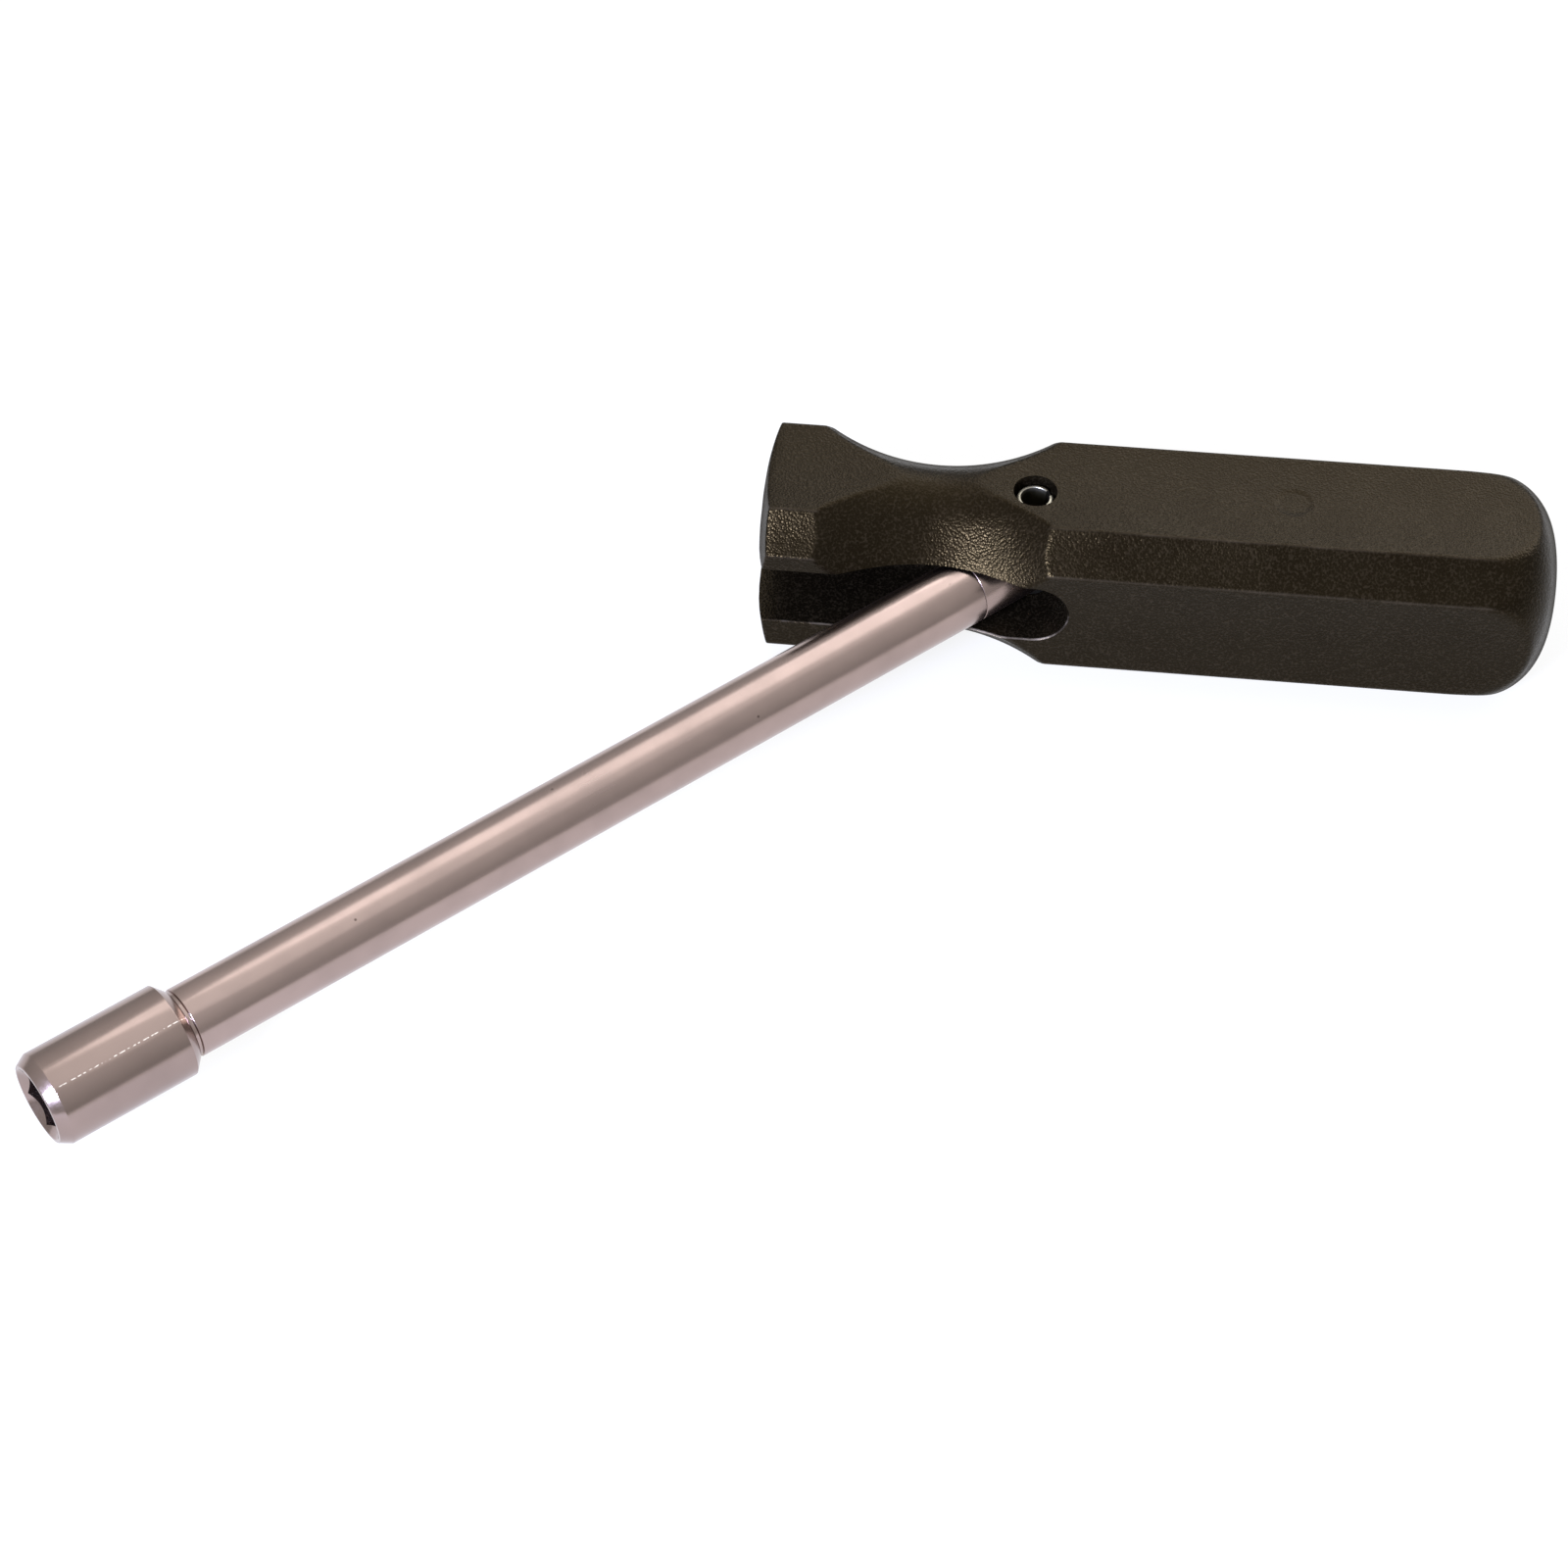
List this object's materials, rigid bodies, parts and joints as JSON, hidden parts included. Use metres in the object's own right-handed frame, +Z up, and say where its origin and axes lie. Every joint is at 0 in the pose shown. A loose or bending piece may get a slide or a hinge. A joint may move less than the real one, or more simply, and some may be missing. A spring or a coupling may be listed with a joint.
{
  "type": "t-bar driver",
  "caption": "Folding T-bar hex driver: a round steel shank with a hex socket swings on a cross pin in the slot of an octagonal black handle, from in line to square.",
  "frame": {"origin": "on the handle's flat underside, on its centreline, 32 mm behind the pivot pin", "axes": "+Z up out of the underside and along the pivot pin, -X along the shank towards the socket's mouth"},
  "size_m": [0.22, 0.0922, 0.027],
  "materials": {
    "black_plastic": "fine moulded grain",
    "satin_steel": "satin nickel",
    "bright_steel": "bright nickel",
    "tang_steel": "satin nickel",
    "spring_steel": "oiled spring steel"
  },
  "bodies": {
    "handle": {"handle": "black_plastic", "pivot_pin": "spring_steel"},
    "shank": {"pivot_tang": "tang_steel", "shank": "satin_steel", "socket": "bright_steel"}
  },
  "joints": [
    {"name": "shank_fold", "type": "hinge", "parent": "handle", "child": "shank", "pos_m": [-0.02429, 0.02087, 0.0143], "axis": [0, 0, 1], "range_deg": [-43, 47]}
  ]
}
